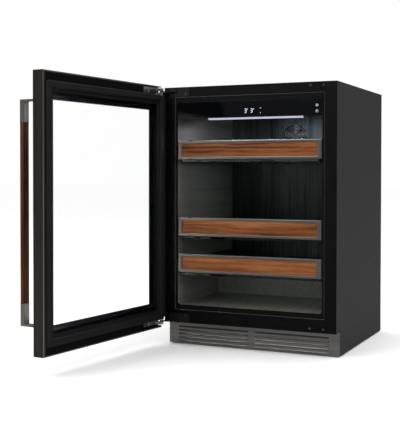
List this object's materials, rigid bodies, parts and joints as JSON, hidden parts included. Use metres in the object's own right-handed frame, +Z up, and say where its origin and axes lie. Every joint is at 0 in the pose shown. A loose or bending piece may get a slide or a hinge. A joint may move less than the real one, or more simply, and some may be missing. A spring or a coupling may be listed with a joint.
{
  "type": "wine cooler",
  "caption": "Undercounter wine and drinks cooler with a hinged glass door, wood-faced pull-out glass shelves, a lit control panel and a louvred plinth.",
  "frame": {"origin": "on the floor under the centre of the cabinet's footprint", "axes": "+Z up, -Y out of the cabinet's front, +X to the right of someone facing it"},
  "size_m": [0.7564, 1.1793, 0.865],
  "materials": {
    "casing": "fine textured charcoal paint",
    "rear_steel": "plain black paint",
    "galvanised": "galvanised sheet, dull",
    "frame_black": "black, fine satin grain",
    "liner": "brushed stainless, reflective",
    "foam": "closed-cell foam, sealed inside the walls",
    "grille": "dark brushed stainless",
    "hinge_black": "black powder coat",
    "pin_steel": "polished steel",
    "screw_steel": "zinc-plated steel",
    "panel_glass": "gloss black",
    "housing_black": "black, matt",
    "board_green": "solder-masked board with parts",
    "display_lit": "lit figures",
    "led": "translucent light diffuser",
    "cover_black": "dark moulded panel",
    "fin_aluminium": "mill finish",
    "motor_black": "moulded motor body and bracket",
    "fan_white": "moulded",
    "fan_black": "moulded",
    "slide_steel": "zinc-plated",
    "slide_middle": "zinc-plated, greased",
    "compressor_black": "gloss black enamel",
    "mount_rubber": "moulded rubber",
    "relay_plastic": "ivory moulding",
    "condenser_black": "black-coated coil and fins",
    "tray_plastic": "moulded tray",
    "copper": "bare copper tube",
    "inlet_plastic": "moulded inlet",
    "foot_plastic": "moulded foot on a zinc stud",
    "shelf_black": "dark powder coat",
    "shelf_glass": "clear, green edges",
    "front_steel": "brushed dark stainless",
    "walnut": "oiled walnut, figured",
    "door_steel": "dark brushed stainless, bright bevel",
    "door_black": "black, fine satin grain",
    "gasket": "ribbed magnetic seal",
    "door_glass": "tinted, black border",
    "spacer": "dark anodised",
    "handle_steel": "dark brushed stainless",
    "hinge_steel": "nickel plated"
  },
  "bodies": {
    "cabinet": {"outer_cabinet": "casing", "rear_panel": "rear_steel", "base_pan": "galvanised", "front_frame": "frame_black", "inner_liner": "liner", "insulation": "foam", "bay_shield": "galvanised", "kick_grille": "grille", "hinge_plates": "hinge_black", "hinge_pins": "pin_steel", "frame_screws": "screw_steel", "control_panel": "panel_glass", "control_housing": "housing_black", "control_board": "board_green", "display": "display_lit", "led_strip": "led", "evaporator_cover": "cover_black", "evaporator_coil": "fin_aluminium", "evaporator_fan_motor": "motor_black", "shelf_rails": "slide_steel", "compressor": "compressor_black", "compressor_mounts": "mount_rubber", "start_relay": "relay_plastic", "condenser": "condenser_black", "condenser_fan_motor": "motor_black", "drip_tray": "tray_plastic", "refrigerant_lines": "copper", "power_inlet": "inlet_plastic", "rear_cover": "rear_steel", "rear_screws": "screw_steel"},
    "door": {"door_skin": "door_steel", "door_inner_frame": "door_black", "door_gasket": "gasket", "door_glass_outer": "door_glass", "door_glass_inner": "door_glass", "glass_spacer": "spacer", "handle_bar": "handle_steel", "handle_grip": "walnut", "hinge_cups": "hinge_steel"},
    "shelf_1": {"shelf_frame_1": "shelf_black", "shelf_glass_1": "shelf_glass", "shelf_front_1": "front_steel", "shelf_wood_1": "walnut"},
    "slide_middle_1": {"slide_members_1": "slide_middle"},
    "shelf_2": {"shelf_frame_2": "shelf_black", "shelf_glass_2": "shelf_glass", "shelf_front_2": "front_steel", "shelf_wood_2": "walnut"},
    "slide_middle_2": {"slide_members_2": "slide_middle"},
    "shelf_3": {"shelf_frame_3": "shelf_black", "shelf_glass_3": "shelf_glass", "shelf_front_3": "front_steel", "shelf_wood_3": "walnut"},
    "slide_middle_3": {"slide_members_3": "slide_middle"},
    "evaporator_fan": {"evaporator_fan": "fan_white"},
    "condenser_fan": {"condenser_fan": "fan_black"},
    "foot_front_left": {"foot_front_left": "foot_plastic"},
    "foot_front_right": {"foot_front_right": "foot_plastic"},
    "foot_rear_left": {"foot_rear_left": "foot_plastic"},
    "foot_rear_right": {"foot_rear_right": "foot_plastic"}
  },
  "joints": [
    {"name": "door_swing", "type": "hinge", "parent": "cabinet", "child": "door", "pos_m": [-0.3001, -0.3009, 0.4635], "axis": [0, 0, -1], "range_deg": [-96, 14]},
    {"name": "shelf_1_slide", "type": "slide", "parent": "cabinet", "child": "shelf_1", "axis": [0, -1, 0], "range_m": [0, 0.3]},
    {"name": "slide_middle_1_slide", "type": "slide", "parent": "cabinet", "child": "slide_middle_1", "axis": [0, -1, 0], "range_m": [0, 0.15]},
    {"name": "shelf_2_slide", "type": "slide", "parent": "cabinet", "child": "shelf_2", "axis": [0, -1, 0], "range_m": [0, 0.3]},
    {"name": "slide_middle_2_slide", "type": "slide", "parent": "cabinet", "child": "slide_middle_2", "axis": [0, -1, 0], "range_m": [0, 0.15]},
    {"name": "shelf_3_slide", "type": "slide", "parent": "cabinet", "child": "shelf_3", "axis": [0, -1, 0], "range_m": [0, 0.3]},
    {"name": "slide_middle_3_slide", "type": "slide", "parent": "cabinet", "child": "slide_middle_3", "axis": [0, -1, 0], "range_m": [0, 0.15]},
    {"name": "evaporator_fan_spin", "type": "hinge", "parent": "cabinet", "child": "evaporator_fan", "pos_m": [0, 0.193, 0.712], "axis": [0, -1, 0], "continuous": true},
    {"name": "condenser_fan_spin", "type": "hinge", "parent": "cabinet", "child": "condenser_fan", "pos_m": [-0.2065, 0.146, 0.0947], "axis": [0, -1, 0], "continuous": true},
    {"name": "foot_front_left_turn", "type": "hinge", "parent": "cabinet", "child": "foot_front_left", "pos_m": [-0.2555, -0.212, 0], "axis": [0, 0, 1], "continuous": true},
    {"name": "foot_front_right_turn", "type": "hinge", "parent": "cabinet", "child": "foot_front_right", "pos_m": [0.2555, -0.212, 0], "axis": [0, 0, 1], "continuous": true},
    {"name": "foot_rear_left_turn", "type": "hinge", "parent": "cabinet", "child": "foot_rear_left", "pos_m": [-0.2555, 0.238, 0], "axis": [0, 0, 1], "continuous": true},
    {"name": "foot_rear_right_turn", "type": "hinge", "parent": "cabinet", "child": "foot_rear_right", "pos_m": [0.2555, 0.238, 0], "axis": [0, 0, 1], "continuous": true}
  ],
  "couplings": [
    {"joint": "slide_middle_1_slide", "follows": "shelf_1_slide", "ratio": 0.5},
    {"joint": "slide_middle_2_slide", "follows": "shelf_2_slide", "ratio": 0.5},
    {"joint": "slide_middle_3_slide", "follows": "shelf_3_slide", "ratio": 0.5}
  ]
}
